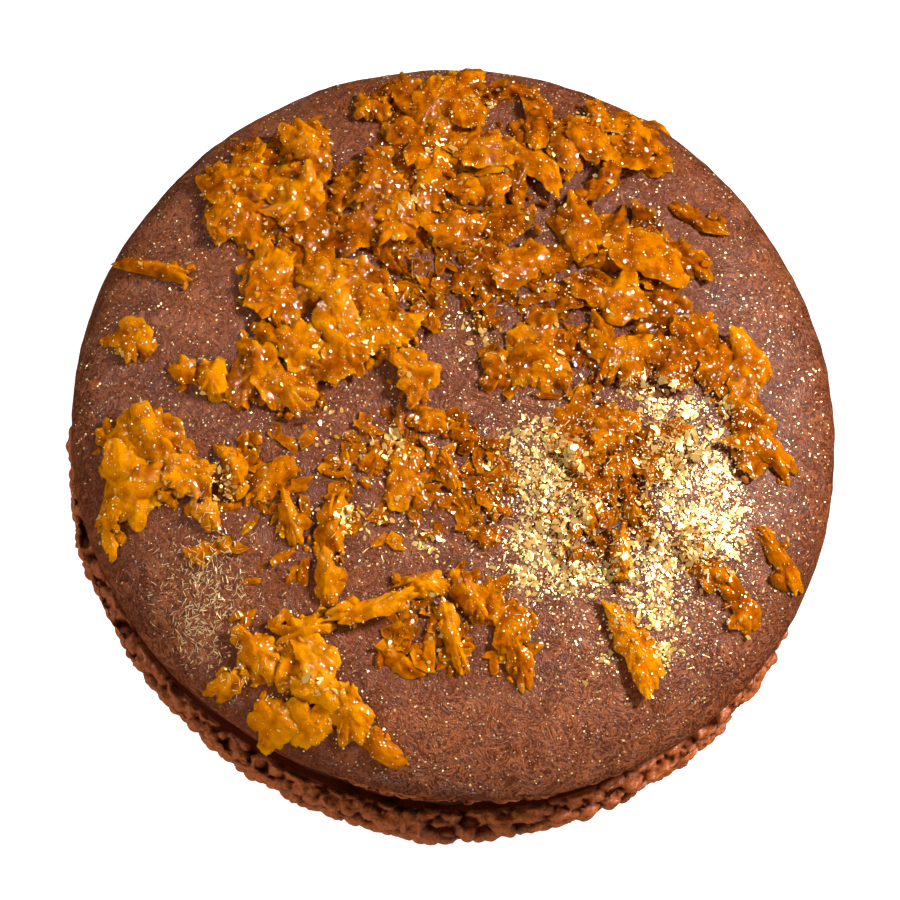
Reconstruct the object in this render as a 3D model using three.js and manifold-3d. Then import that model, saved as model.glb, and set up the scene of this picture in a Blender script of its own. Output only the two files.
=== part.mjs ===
// A chocolate macaron: two domed almond shells with ragged porous feet, a layer of dark ganache
// between them, and shreds of candied orange zest stuck to the upper shell.
// Millimetres, +Z up. The origin is the middle of the flat spot that the macaron rests on.

import * as THREE from "three";
import { mergeVertices } from "three/addons/utils/BufferGeometryUtils.js";
import Module from "manifold-3d";

// Driving dimensions
const SHELL_RADIUS = 24;
const REST_RADIUS = 11;
const LOWER_RISE = 6;
const UPPER_RISE = 6.4;
const FOOT_HEIGHT = 3;
const FILLING_HEIGHT = 2.6;
const FILLING_RECESS = 1.1;
const FILLING_BULGE = 0.6;
const DOME_FULLNESS = 2.6;

// The skin ends in a rounded lip, and the foot starts in a groove under it
const LIP_HEIGHT = 0.5;
const GROOVE_DEPTH = 1.1;
const FOOT_FLARE = 0.4;
const CRAG_DEPTH = 1.3;
const CRAG_DROP = 0.22;
const LUMP_SHARE = 0.2;

// The batter spread unevenly: the outline is a little oval and a little three-cornered
const OVAL_SHARE = 0.0156;
const OVAL_ANGLE = 0.83;
const CORNER_SHARE = 0.0076;
const CORNER_ANGLE = 0.155;

// The upper shell was set down a little to the right of and behind the lower one
const UPPER_SHIFT = new THREE.Vector2(0.55, 0.35);

// Facets round the axis, and rows up each skin and the filling's edge
const UPPER_SIDES = 90;
const LOWER_SIDES = 80;
const FILLING_SIDES = 48;
const SKIN_ROWS = 6;
const FILLING_ROWS = 4;

// Starts of the seeded draws, and the most that a shred or a drift takes
const LOWER_SEED = 1000;
const UPPER_SEED = 2000;
const DRIFT_SEED = 4000;
const LONE_SEED = 40000;
const SHRED_DRAWS = 40;
const DRIFT_MOST = 12;

// Candied zest: shreds of peel, some of them lone and most of them in drifts
const PEEL_THICKNESS = 0.55;
const PEEL_SUNK = 0.5;
const LAYER_STEP = 0.4;
const DRIFT_LAYERS = 3;
const DRIFT_SHRED_LENGTH = 3.8;
const DRIFT_SHRED_WIDTH = 2.5;
const DRIFT_TURN = 1.5;
const SIZE_LEAST = 0.7;
const SIZE_SPREAD = 0.6;
const SHRED_STEP = 1.9;
const SHRED_JAG = 0.35;
const SHRED_BOW = 0.12;
const END_TAPER = 0.7;
const LIFT_LEAST = 0.75;
const LIFT_SPREAD = 0.5;

// Drifts of zest in plan: start x, y, end x, y, width across, number of shreds
const DRIFTS = [
  [-14.4, 16.8, -11.5, 12.4, 4.2, 8], [-10.3, 19.2, -9.0, 11.2, 3.2, 8],
  [-12.4, 10.2, -11.4, 6.4, 2.6, 5], [-9.4, 9.8, -5.0, 6.6, 3.4, 6], [-12.0, 4.5, -3.6, 3.8, 3.6, 9],
  [-13.6, 1.5, -8.6, 1.1, 2.0, 4], [-3.2, 21.0, 1.8, 21.2, 3.2, 7], [-3.8, 17.9, 3.2, 17.5, 3.2, 7],
  [-7.4, 14.3, 2.6, 15.1, 3.2, 9], [-7.4, 11.4, 4.0, 12.0, 2.6, 8], [2.8, 17.5, 5.0, 15.5, 2.4, 3],
  [6.4, 17.1, 10.2, 17.5, 2.0, 4], [11.2, 19.6, 12.0, 16.4, 2.4, 4], [11.0, 11.0, 14.0, 9.0, 3.0, 5],
  [7.6, 7.4, 13.2, 6.8, 2.4, 5], [1.2, 8.4, 6.6, 9.4, 2.2, 5], [12.2, 5.2, 11.4, 1.4, 2.4, 4],
  [14.2, 6.0, 14.8, 2.4, 2.8, 5], [16.2, 4.0, 18.6, 1.0, 2.6, 4], [17.4, -1.0, 20.0, -3.2, 2.0, 3],
  [-21.2, -1.9, -18.6, -1.2, 2.0, 3], [-21.0, -3.4, -18.8, -5.2, 2.2, 3],
  [-18.4, -2.6, -15.8, -4.8, 2.4, 3], [-11.4, -15.5, -8.4, -16.3, 2.0, 3],
  [2.2, -12.9, 4.2, -14.3, 2.2, 2], [7.4, -1.0, 10.4, -2.0, 2.0, 3], [11.8, -2.9, 14.0, -3.4, 1.8, 2],
  [8.8, -5.2, 8.6, -7.0, 2.0, 2], [-4.2, -3.0, -2.6, -5.0, 1.8, 2],
];

// Lone shreds in plan: start x, y, end x, y, width, height above the skin
const LONE_SHREDS = [
  [-21.2, 10.4, -16.6, 8.7, 1.1, 0.9], [-21.2, 5.9, -19.6, 3.5, 2.2, 0.6],
  [-15.1, 3.2, -14.9, 0.2, 1.9, 1.2], [-17.8, 1.9, -16.2, 2.6, 1.8, 0.6],
  [-6.5, 20.7, -4.2, 20.9, 2.2, 1.1], [-4.2, 23.2, -3.6, 21.4, 1.7, 1.3],
  [-5.4, 16.9, -4.5, 14.3, 1.8, 1.4], [1.9, 21.8, 5.0, 22.2, 1.1, 1.1], [5.2, 21.5, 5.2, 17.4, 1.9, 1.3],
  [4.1, 15.8, 4.2, 12.8, 1.2, 0.8], [9.0, 21.4, 8.9, 18.8, 1.5, 1.5], [8.4, 13.2, 10.1, 16.2, 1.3, 1.7],
  [5.8, 12.6, 10.8, 10.0, 3.2, 1.0], [7.2, 13.6, 8.8, 9.6, 2.4, 1.3], [7.2, 9.8, 10.8, 12.4, 2.2, 1.2],
  [13.6, 13.8, 17.0, 12.0, 1.1, 0.6], [4.4, 5.2, 6.8, 0.4, 3.4, 0.9], [3.4, 1.4, 7.8, 4.0, 2.4, 1.2],
  [9.2, 5.5, 9.2, 1.6, 2.1, 1.1], [1.8, 1.8, 3.4, 2.4, 1.8, 0.7], [-3.5, 2.7, -1.7, -0.1, 2.6, 1.5],
  [-2.8, -0.8, -0.4, -1.6, 1.8, 0.9], [-20.9, -5.1, -22.0, -7.1, 1.8, 0.8],
  [-21.9, -7.0, -21.3, -8.9, 0.9, 0.6], [-14.1, -2.6, -13.9, -6.1, 1.5, 1.2],
  [-15.9, -5.8, -14.6, -7.9, 1.6, 1.0], [-12.7, -6.3, -10.3, -3.9, 1.6, 0.8],
  [-10.6, -6.0, -9.6, -9.3, 1.3, 0.9], [-16.7, -9.4, -14.1, -8.6, 1.3, 0.4],
  [-7.3, -6.1, -7.6, -9.7, 1.9, 1.2], [-7.6, -9.4, -8.0, -12.9, 1.6, 1.1],
  [-11.2, -14.8, -7.2, -13.4, 1.6, 1.1], [-7.8, -13.9, -2.7, -12.4, 1.3, 1.3],
  [-3.9, -12.1, 0.0, -11.8, 1.6, 1.1], [-13.5, -14.2, -11.2, -16.8, 2.3, 1.1],
  [-15.3, -17.6, -12.6, -16.5, 1.5, 0.8], [-10.2, -17.2, -7.0, -18.5, 1.8, 1.3],
  [-12.5, -18.7, -9.6, -19.7, 2.6, 0.9], [-10.4, -19.5, -7.6, -19.9, 2.4, 0.8],
  [-6.9, -17.9, -6.0, -20.7, 2.2, 0.9], [-5.7, -20.5, -2.8, -22.1, 1.3, 0.6],
  [-4.8, -15.3, -2.2, -17.0, 1.3, 0.4], [-0.9, -3.2, 0.4, -5.9, 1.1, 0.8],
  [0.1, -1.6, 1.2, -2.8, 1.4, 0.7], [7.0, -2.5, 8.3, -4.1, 2.0, 1.0], [9.4, -3.9, 11.9, -4.4, 1.5, 0.6],
  [10.7, -5.1, 11.6, -8.1, 1.2, 1.0], [10.1, -8.1, 10.5, -11.2, 1.4, 1.1],
  [1.2, -7.7, 2.8, -9.0, 1.8, 0.7], [0.2, -10.9, 1.6, -13.7, 1.7, 1.0],
  [3.5, -14.9, 4.4, -18.2, 1.5, 0.9], [-0.5, -13.0, 0.7, -17.1, 1.2, 0.9],
  [9.4, -12.4, 12.3, -17.4, 2.0, 1.2], [14.1, -8.6, 16.8, -11.5, 2.0, 0.6],
  [16.4, -10.9, 18.7, -13.8, 1.6, 0.5], [18.7, -7.1, 21.5, -11.1, 1.3, 1.0],
];

const RIM_UPPER = LOWER_RISE + FOOT_HEIGHT + FILLING_HEIGHT + FOOT_HEIGHT;
const FILLING_BOTTOM = LOWER_RISE + FOOT_HEIGHT;
const FILLING_TOP = FILLING_BOTTOM + FILLING_HEIGHT;

const wasm = await Module();
wasm.setup();

// A repeatable draw from 0 to 1 for each number
function draw(number) {
  const spread = Math.sin(number * 12.9898) * 43758.5453;
  return spread - Math.floor(spread);
}

// A run of draws that starts at a seed
function draws(seed) {
  let number = seed;
  return () => {
    number += 1;
    return draw(number);
  };
}

// Share of the nominal radius that the outline reaches at an angle
function outline(angle) {
  const oval = OVAL_SHARE * Math.cos(2 * (angle - OVAL_ANGLE));
  const corner = CORNER_SHARE * Math.cos(3 * (angle - CORNER_ANGLE));
  return 1 - oval - corner;
}

// Height of the domed skin as a share of its rise, from 1 at the crown to 0 at the rim
function dome(share) {
  return Math.sqrt(Math.max(0, 1 - Math.min(1, share) ** DOME_FULLNESS));
}

// Height of the upper skin at a place in plan
function upperSkin(x, y) {
  const reach = SHELL_RADIUS * outline(Math.atan2(y, x));
  return RIM_UPPER + UPPER_RISE * dome(Math.hypot(x, y) / reach);
}

// Crags of a foot: seeded pits and lumps, one for each facet and row
function crag(angle, row, sides, seed) {
  const facet = Math.round((angle / (2 * Math.PI)) * sides + sides) % sides;
  const number = seed + row * sides + facet;
  return {
    pit: CRAG_DEPTH * (draw(number) ** 2 - LUMP_SHARE),
    drop: CRAG_DROP * (2 * draw(number + 0.5) - 1),
  };
}

// Turns a profile of [radius, height, crag row] round Z, on the uneven outline
function revolve(profile, sides, seed) {
  const points = profile.map(([radius, height]) => new THREE.Vector2(radius, height));
  const geometry = new THREE.LatheGeometry(points, sides);
  geometry.rotateX(Math.PI / 2);
  const place = geometry.attributes.position;
  for (let index = 0; index < place.count; index += 1) {
    const [radius, height, row] = profile[index % profile.length];
    const angle = Math.atan2(place.getY(index), place.getX(index));
    const { pit, drop } = row ? crag(angle, row, sides, seed) : { pit: 0, drop: 0 };
    const reach = radius > 0 ? radius * outline(angle) - pit : 0;
    place.setXYZ(index, reach * Math.cos(angle), reach * Math.sin(angle), height + drop);
  }
  return geometry;
}

// Rows of a foot from the groove under its skin to the face on the filling
function footProfile(rim, direction) {
  const at = (share) => rim + direction * FOOT_HEIGHT * share;
  return [
    [SHELL_RADIUS - GROOVE_DEPTH, at(0.08), 0],
    [SHELL_RADIUS - 0.4 * GROOVE_DEPTH, at(0.26), 1],
    [SHELL_RADIUS + 0.25 * FOOT_FLARE, at(0.5), 2],
    [SHELL_RADIUS + FOOT_FLARE, at(0.76), 3],
    [SHELL_RADIUS - FOOT_FLARE, at(0.92), 4],
    [SHELL_RADIUS - FILLING_RECESS - FOOT_FLARE, at(1), 0],
  ];
}

// The solid that a closed geometry bounds
function solid(geometry) {
  const bare = geometry.clone();
  bare.deleteAttribute("normal");
  bare.deleteAttribute("uv");
  const merged = mergeVertices(bare);
  const vertProperties = Float32Array.from(merged.attributes.position.array);
  const triVerts = Uint32Array.from(merged.index.array);
  return new wasm.Manifold(new wasm.Mesh({ numProp: 3, vertProperties, triVerts }));
}

// The geometry of a solid's outside
function geometryOf(body) {
  const mesh = body.getMesh();
  const geometry = new THREE.BufferGeometry();
  geometry.setAttribute("position", new THREE.BufferAttribute(mesh.vertProperties, 3));
  geometry.setIndex(new THREE.BufferAttribute(mesh.triVerts, 1));
  geometry.computeVertexNormals();
  return geometry;
}

// Lower shell: flat rest spot, skin up to its lip, then the foot
function lowerShell() {
  const atRest = dome(REST_RADIUS / SHELL_RADIUS);
  const profile = [[0, 0, 0]];
  for (let row = 0; row <= SKIN_ROWS; row += 1) {
    const turn = (row / SKIN_ROWS) * (Math.PI / 2);
    const radius = REST_RADIUS + (SHELL_RADIUS - REST_RADIUS) * Math.sin(turn);
    const sunk = 1 - dome(radius / SHELL_RADIUS) / atRest;
    profile.push([radius, (LOWER_RISE - LIP_HEIGHT) * sunk, 0]);
  }
  profile.push([SHELL_RADIUS, LOWER_RISE - LIP_HEIGHT / 2, 0]);
  profile.push(...footProfile(LOWER_RISE, 1));
  profile.push([0, FILLING_BOTTOM, 0]);
  return revolve(profile, LOWER_SIDES, LOWER_SEED);
}

// Upper shell without its zest: the foot, then the lip and the domed skin
function upperShell() {
  const profile = [[0, FILLING_TOP, 0]];
  profile.push(...footProfile(RIM_UPPER, -1).reverse());
  profile.push([SHELL_RADIUS - LIP_HEIGHT / 2, RIM_UPPER - LIP_HEIGHT / 2, 0]);
  for (let row = 0; row <= SKIN_ROWS; row += 1) {
    const turn = (row / SKIN_ROWS) * (Math.PI / 2);
    const radius = SHELL_RADIUS * Math.cos(turn);
    profile.push([row < SKIN_ROWS ? radius : 0, RIM_UPPER + UPPER_RISE * dome(radius / SHELL_RADIUS), 0]);
  }
  return revolve(profile, UPPER_SIDES, UPPER_SEED);
}

// One shred: a jagged strip with its foot sunk in the skin and its top face over the skin
function shred({ start, end, width, height, next }) {
  const along = new THREE.Vector2().subVectors(end, start);
  const across = new THREE.Vector2(-along.y, along.x).normalize();
  const bow = (2 * next() - 1) * SHRED_BOW * along.length();
  const steps = Math.max(2, Math.round(along.length() / SHRED_STEP));
  const corners = [];
  for (let step = 0; step <= steps; step += 1) {
    const share = step / steps;
    const middle = start.clone().addScaledVector(along, share);
    middle.addScaledVector(across, bow * Math.sin(Math.PI * share));
    const taper = step === 0 || step === steps ? END_TAPER : 1;
    for (const side of [1, -1]) {
      const jag = 1 - SHRED_JAG * next();
      const edge = middle.clone().addScaledVector(across, (side * width * taper * jag) / 2);
      const skin = upperSkin(edge.x, edge.y);
      const lift = height * (LIFT_LEAST + LIFT_SPREAD * next());
      corners.push([edge.x, edge.y, skin + lift], [edge.x, edge.y, skin - PEEL_SUNK]);
    }
  }
  const faces = [];
  const quad = (a, b, c, d) => faces.push(a, b, c, a, c, d);
  for (let step = 0; step < steps; step += 1) {
    const near = step * 4;
    const far = near + 4;
    quad(near, near + 2, far + 2, far);
    quad(near + 1, far + 1, far + 3, near + 3);
    quad(near, far, far + 1, near + 1);
    quad(near + 2, near + 3, far + 3, far + 2);
  }
  const last = steps * 4;
  quad(0, 1, 3, 2);
  quad(last, last + 2, last + 3, last + 1);
  const geometry = new THREE.BufferGeometry();
  geometry.setAttribute("position", new THREE.Float32BufferAttribute(corners.flat(), 3));
  geometry.setIndex(faces);
  return geometry;
}

// The shreds of a drift: spread along it, each turned and shifted by seeded draws, in layers
function driftShreds([startX, startY, endX, endY, width, count], number) {
  const along = new THREE.Vector2(endX - startX, endY - startY);
  const across = new THREE.Vector2(-along.y, along.x).normalize();
  return Array.from({ length: count }, (_, index) => {
    const next = draws(DRIFT_SEED + (number * DRIFT_MOST + index) * SHRED_DRAWS);
    const length = DRIFT_SHRED_LENGTH * (SIZE_LEAST + SIZE_SPREAD * next());
    const broad = DRIFT_SHRED_WIDTH * (SIZE_LEAST + SIZE_SPREAD * next());
    const middle = new THREE.Vector2(startX, startY).addScaledVector(along, (index + 0.5) / count);
    middle.addScaledVector(across, (next() - 0.5) * Math.max(0, width - broad / 2));
    const heading = along.angle() + (2 * next() - 1) * DRIFT_TURN;
    const half = new THREE.Vector2(Math.cos(heading), Math.sin(heading)).multiplyScalar(length / 2);
    const height = PEEL_THICKNESS + LAYER_STEP * (index % DRIFT_LAYERS);
    return { start: middle.clone().sub(half), end: middle.clone().add(half), width: broad, height, next };
  });
}

// A lone shred lies where its row says
function loneShred([startX, startY, endX, endY, width, height], number) {
  const start = new THREE.Vector2(startX, startY);
  const end = new THREE.Vector2(endX, endY);
  return { start, end, width, height, next: draws(LONE_SEED + number * SHRED_DRAWS) };
}

const zest = [...DRIFTS.flatMap(driftShreds), ...LONE_SHREDS.map(loneShred)];
const topShell = wasm.Manifold.union([solid(upperShell()), ...zest.map((row) => solid(shred(row)))]);

// The filling: a disc of ganache whose pressed edge bulges between the feet
function fillingLayer() {
  const profile = [[0, FILLING_BOTTOM, 0]];
  for (let row = 0; row <= FILLING_ROWS; row += 1) {
    const share = row / FILLING_ROWS;
    const bulge = FILLING_BULGE * Math.sin(Math.PI * share);
    const radius = SHELL_RADIUS - FILLING_RECESS - FILLING_BULGE + bulge;
    profile.push([radius, FILLING_BOTTOM + share * FILLING_HEIGHT, 0]);
  }
  profile.push([0, FILLING_TOP, 0]);
  return revolve(profile, FILLING_SIDES, 0);
}

const shellSkin = new THREE.MeshStandardMaterial({ color: "#6f4536", roughness: 0.7, metalness: 0 });
const ganache = new THREE.MeshStandardMaterial({ color: "#2a150d", roughness: 0.5, metalness: 0 });

function piece(name, geometry, material) {
  const mesh = new THREE.Mesh(geometry, material);
  mesh.name = name;
  return mesh;
}

const upper = piece("top_shell", geometryOf(topShell), shellSkin);
upper.position.set(UPPER_SHIFT.x, UPPER_SHIFT.y, 0);
const filling = piece("filling", fillingLayer(), ganache);
filling.position.set(UPPER_SHIFT.x / 2, UPPER_SHIFT.y / 2, 0);
const macaron = new THREE.Group();
macaron.add(upper, filling, piece("bottom_shell", lowerShell(), shellSkin));

export default macaron;
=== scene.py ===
import itertools

import bpy
import numpy as np
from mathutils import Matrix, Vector


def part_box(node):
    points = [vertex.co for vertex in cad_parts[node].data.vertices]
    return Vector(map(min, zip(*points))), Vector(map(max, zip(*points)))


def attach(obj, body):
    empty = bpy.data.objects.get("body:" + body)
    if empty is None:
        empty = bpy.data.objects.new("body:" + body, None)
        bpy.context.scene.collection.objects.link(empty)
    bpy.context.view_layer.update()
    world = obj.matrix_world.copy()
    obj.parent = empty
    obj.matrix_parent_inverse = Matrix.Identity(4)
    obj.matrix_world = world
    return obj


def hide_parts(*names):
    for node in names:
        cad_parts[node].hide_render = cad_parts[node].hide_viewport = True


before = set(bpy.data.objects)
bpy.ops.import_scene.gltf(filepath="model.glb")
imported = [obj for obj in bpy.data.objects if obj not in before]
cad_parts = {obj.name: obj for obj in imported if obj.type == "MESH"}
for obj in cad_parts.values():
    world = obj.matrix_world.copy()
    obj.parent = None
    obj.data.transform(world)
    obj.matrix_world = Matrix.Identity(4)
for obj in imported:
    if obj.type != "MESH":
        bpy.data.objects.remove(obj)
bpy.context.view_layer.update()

# Lower shell
# The bottom half of the biscuit: almond meringue baked to a matt skin, with a flat spot where it
# sat on the baking sheet. It was piped as a round of batter, so it is a little out of round.
MM = 0.001
SHELL_RADIUS = 24.0
REST_RADIUS = 11.0
LOWER_RISE = 6.0
DOME_FULLNESS = 2.6
LIP_HEIGHT = 0.5
GROOVE_DEPTH = 1.1
OVAL_SHARE, OVAL_ANGLE = 0.0156, 0.83
CORNER_SHARE, CORNER_ANGLE = 0.0076, 0.155
SKIN_SIDES = 560
LOWER_SKIN_ROWS = 80
LOWER_SKIN_SHARE = 0.975
LIP_ROWS = 8
REST_RINGS = np.array([0.5, 0.98])
REST_FADE = 1.5
SHELL_DARK, SHELL_LIGHT, SHELL_PIT_SHADE, SHELL_SYRUP = "#461603", "#964e20", "#240f05", "#602602"
BLOTCH_SIZE, SWIRL_SIZE, ALMOND_GRAIN, HOLES_APART = 3.0, 1.6, 0.17, 1.1
SWIRL_TURNS = 60.0
WRINKLE_DEPTH, BLOOM_DEPTH = 0.16, 0.04
DRAW_TURN, DRAW_GAIN = 12.9898, 43758.5453
CELL_STRIDES = np.array([1.0, 57.31, 113.77])

# Lumps of the skins: height, width and seed of each size
SKIN_LUMPS = [(0.1, 5.0, 11), (0.045, 1.4, 12), (0.03, 0.55, 13)]


def draw(numbers):
    """A repeatable draw from 0 to 1 for each number: what is left of a large multiple of its sine."""
    spread = np.sin(np.asarray(numbers, float) * DRAW_TURN) * DRAW_GAIN
    return spread - np.floor(spread)


def lumps(points, size, seed):
    """Smooth relief from -1 to 1: seeded values at the corners of cubic cells of that size, blended
    across each cell by the smooth step of the point's place in it."""
    cell = np.floor(points / size)
    part = points / size - cell
    part = part * part * (3 - 2 * part)
    total = np.zeros(points.shape[:-1])
    for corner in itertools.product((0, 1), repeat=3):
        share = np.prod(np.where(corner, part, 1 - part), axis=-1)
        total += share * draw((cell + corner) @ CELL_STRIDES + seed)
    return 2 * total - 1


def all_lumps(points, sizes, seed=0):
    """Lumps of several sizes added. Each has its height, its width and a seed of its own."""
    return sum(tall * lumps(points, wide, seed + own) for tall, wide, own in sizes)


def outline(angle):
    """Share of the nominal radius at an angle: one less a two-lobed and a three-lobed wave."""
    oval = OVAL_SHARE * np.cos(2 * (angle - OVAL_ANGLE))
    corner = CORNER_SHARE * np.cos(3 * (angle - CORNER_ANGLE))
    return 1 - oval - corner


def dome(share):
    """Height of the skin as a share of its rise: the square root of one less a power of the radius."""
    return np.sqrt(np.clip(1 - np.clip(share, 0, 1) ** DOME_FULLNESS, 0, 1))


def turned(radius, height, sides):
    """Points of a profile carried round Z on the uneven outline, as rows of rings."""
    angle = np.linspace(0, 2 * np.pi, sides, endpoint=False)
    reach = np.asarray(radius)[:, None] * outline(angle)
    up = np.broadcast_to(np.asarray(height)[:, None], reach.shape)
    return np.stack([reach * np.cos(angle), reach * np.sin(angle), up], axis=-1)


def pushed(points, amount):
    """Rings of points, top ring first, moved out by an amount along the normal, which is the cross
    product of the way down and the way round."""
    round_way = np.roll(points, -1, axis=1) - np.roll(points, 1, axis=1)
    normal = np.cross(np.gradient(points, axis=0), round_way)
    normal /= np.maximum(np.linalg.norm(normal, axis=-1, keepdims=True), 1e-9)
    return points + normal * amount[..., None]


def ring_faces(rows, sides):
    """Quads between neighbouring rings, top ring first, and triangles from the end rings to two poles,
    which follow the rings in the list of points."""
    row, side = np.meshgrid(np.arange(rows - 1), np.arange(sides), indexing="ij")
    after = (side + 1) % sides
    quads = np.stack([row * sides + after, row * sides + side], axis=-1)
    quads = np.concatenate([quads, quads[..., ::-1] + sides], axis=-1).reshape(-1, 4)
    one, two = np.arange(sides), (np.arange(sides) + 1) % sides
    first_pole = np.full(sides, rows * sides)
    last = (rows - 1) * sides
    top_fan = np.stack([one, two, first_pole], axis=-1)
    bottom_fan = np.stack([two + last, one + last, first_pole + 1], axis=-1)
    return [quads, np.concatenate([top_fan, bottom_fan])]


def closed(rings):
    """The rings' points in one list, with a pole in the middle of the first and of the last ring."""
    poles = rings[[0, -1]].mean(axis=1)
    return np.concatenate([rings.reshape(-1, 3), poles])


def make_piece(name, points, faces, material, slot, crease=np.pi, **attributes):
    """A mesh from points in millimetres and arrays of corners, with values at its points. It is shaded
    smooth where its faces meet at less than the crease angle."""
    mesh = bpy.data.meshes.new(name)
    corners = np.concatenate([face.ravel() for face in faces])
    counts = np.concatenate([np.full(len(face), face.shape[1]) for face in faces])
    mesh.vertices.add(len(points))
    mesh.vertices.foreach_set("co", (points * MM).ravel())
    mesh.loops.add(len(corners))
    mesh.loops.foreach_set("vertex_index", corners)
    mesh.polygons.add(len(counts))
    mesh.polygons.foreach_set("loop_start", np.cumsum(counts) - counts)
    for key, values in attributes.items():
        mesh.attributes.new(key, "FLOAT", "POINT").data.foreach_set("value", np.ravel(values))
    mesh.update(calc_edges=True)
    mesh.shade_smooth()
    mesh.set_sharp_from_angle(angle=crease)
    mesh.materials.append(material)
    piece = bpy.data.objects.new(name, mesh)
    bpy.context.scene.collection.objects.link(piece)
    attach(piece, "root")
    return piece


def linear(hex_colour):
    """An sRGB hex colour as linear light, with full alpha."""
    level = np.array([int(hex_colour[at : at + 2], 16) for at in (1, 3, 5)]) / 255
    light = np.where(level <= 0.04045, level / 12.92, ((level + 0.055) / 1.055) ** 2.4)
    return (*light, 1.0)


def add_node(material, kind, inputs=None, **settings):
    """Adds a node with its settings. Each input is a value, or an output that is linked to it."""
    tree = material.node_tree
    node = tree.nodes.new(kind)
    for key, value in settings.items():
        setattr(node, key, value)
    for key, value in (inputs or {}).items():
        if isinstance(value, bpy.types.NodeSocket):
            tree.links.new(value, node.inputs[key])
        else:
            node.inputs[key].default_value = value
    return node


def new_material(name):
    """An empty node material."""
    material = bpy.data.materials.new(name)
    material.use_nodes = True
    material.node_tree.nodes.clear()
    return material


def baked_skin():
    """Baked almond meringue: a dry, matt cocoa skin. It dries in fine swirled wrinkles, painted lighter
    on their ridges and darker in their creases as painted light and shade, over a fine grain of ground
    almond, and bubbles in the batter leave pin holes, painted dark as shade. Almond fat gives it a faint
    soft bloom, and syrup from the zest soaks it darker and shinier."""
    material = new_material("baked_almond_skin")
    place = add_node(material, "ShaderNodeTexCoord").outputs["Object"]
    blotch = add_node(
        material, "ShaderNodeTexNoise", {"Vector": place, "Scale": 1 / (BLOTCH_SIZE * MM), "Detail": 3.0}
    )
    swirl = add_node(
        material, "ShaderNodeTexNoise",
        {
            "Vector": place, "Scale": 1 / (SWIRL_SIZE * MM),
            "Detail": 6.0, "Roughness": 0.66, "Distortion": 0.6,
        },
    )
    grain = add_node(
        material, "ShaderNodeTexNoise",
        {"Vector": place, "Scale": 1 / (ALMOND_GRAIN * MM), "Detail": 3.0, "Roughness": 0.6},
    )
    holes = add_node(material, "ShaderNodeTexVoronoi", {"Vector": place, "Scale": 1 / (HOLES_APART * MM)})
    turns = add_node(
        material, "ShaderNodeMath",
        {0: swirl.outputs["Fac"], 1: SWIRL_TURNS, 2: grain.outputs["Fac"]}, operation="MULTIPLY_ADD",
    )
    wrinkle = add_node(material, "ShaderNodeMath", {0: turns.outputs[0]}, operation="SINE")
    # Pin holes: sunk by the bump and painted dark as shade.
    pit_depth_and_shade = add_node(
        material, "ShaderNodeMapRange",
        {
            "Value": holes.outputs["Distance"], "From Min": 0.04, "From Max": 0.13,
            "To Min": 0.8, "To Max": 0.0,
        },
    )
    # The wrinkles' height drives the bump and is also painted into the colour: lighter ridges and darker
    # creases are painted light and shade.
    ridge_height_and_light = add_node(
        material, "ShaderNodeMath",
        {0: wrinkle.outputs[0], 1: 0.2, 2: grain.outputs["Fac"]}, operation="MULTIPLY_ADD",
    )
    mottle_and_ridge_light = add_node(
        material, "ShaderNodeMath",
        {0: blotch.outputs["Fac"], 1: 0.5, 2: ridge_height_and_light.outputs[0]}, operation="MULTIPLY_ADD",
    )
    spread = add_node(
        material, "ShaderNodeMapRange", {"Value": mottle_and_ridge_light.outputs[0], "From Min": 0.5, "From Max": 1.05}
    )
    soaked = add_node(material, "ShaderNodeAttribute", attribute_name="syrup")
    # Mixed in turn: lighter blotches (the skin's own tone) with painted light on wrinkle ridges, painted
    # shade in pin holes, and the syrup stain.
    colour = linear(SHELL_DARK)
    for share, over in (
        (spread.outputs["Result"], SHELL_LIGHT),
        (pit_depth_and_shade.outputs["Result"], SHELL_PIT_SHADE),
        (soaked.outputs["Fac"], SHELL_SYRUP),
    ):
        mixed = add_node(
            material, "ShaderNodeMix", {"Factor": share, "A": colour, "B": linear(over)}, data_type="RGBA"
        )
        colour = mixed.outputs["Result"]
    gloss = add_node(
        material, "ShaderNodeMapRange", {"Value": soaked.outputs["Fac"], "To Min": 0.24, "To Max": 0.2}
    )
    relief = add_node(
        material, "ShaderNodeMath",
        {0: pit_depth_and_shade.outputs["Result"], 1: -0.5, 2: ridge_height_and_light.outputs[0]}, operation="MULTIPLY_ADD",
    )
    bump, soft = [
        add_node(
            material, "ShaderNodeBump",
            {"Strength": 1.0, "Distance": depth * MM, "Height": relief.outputs[0]},
        )
        for depth in (WRINKLE_DEPTH, BLOOM_DEPTH)
    ]
    shader = add_node(
        material, "ShaderNodeBsdfPrincipled",
        {
            "Base Color": colour, "Roughness": gloss.outputs["Result"], "IOR": 1.45,
            "Specular IOR Level": 0.5, "Coat Weight": 0.45, "Coat Roughness": 0.36,
            "Coat Normal": soft.outputs["Normal"], "Normal": bump.outputs["Normal"],
        },
    )
    add_node(material, "ShaderNodeOutputMaterial", {"Surface": shader.outputs[0]})
    return material


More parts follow.
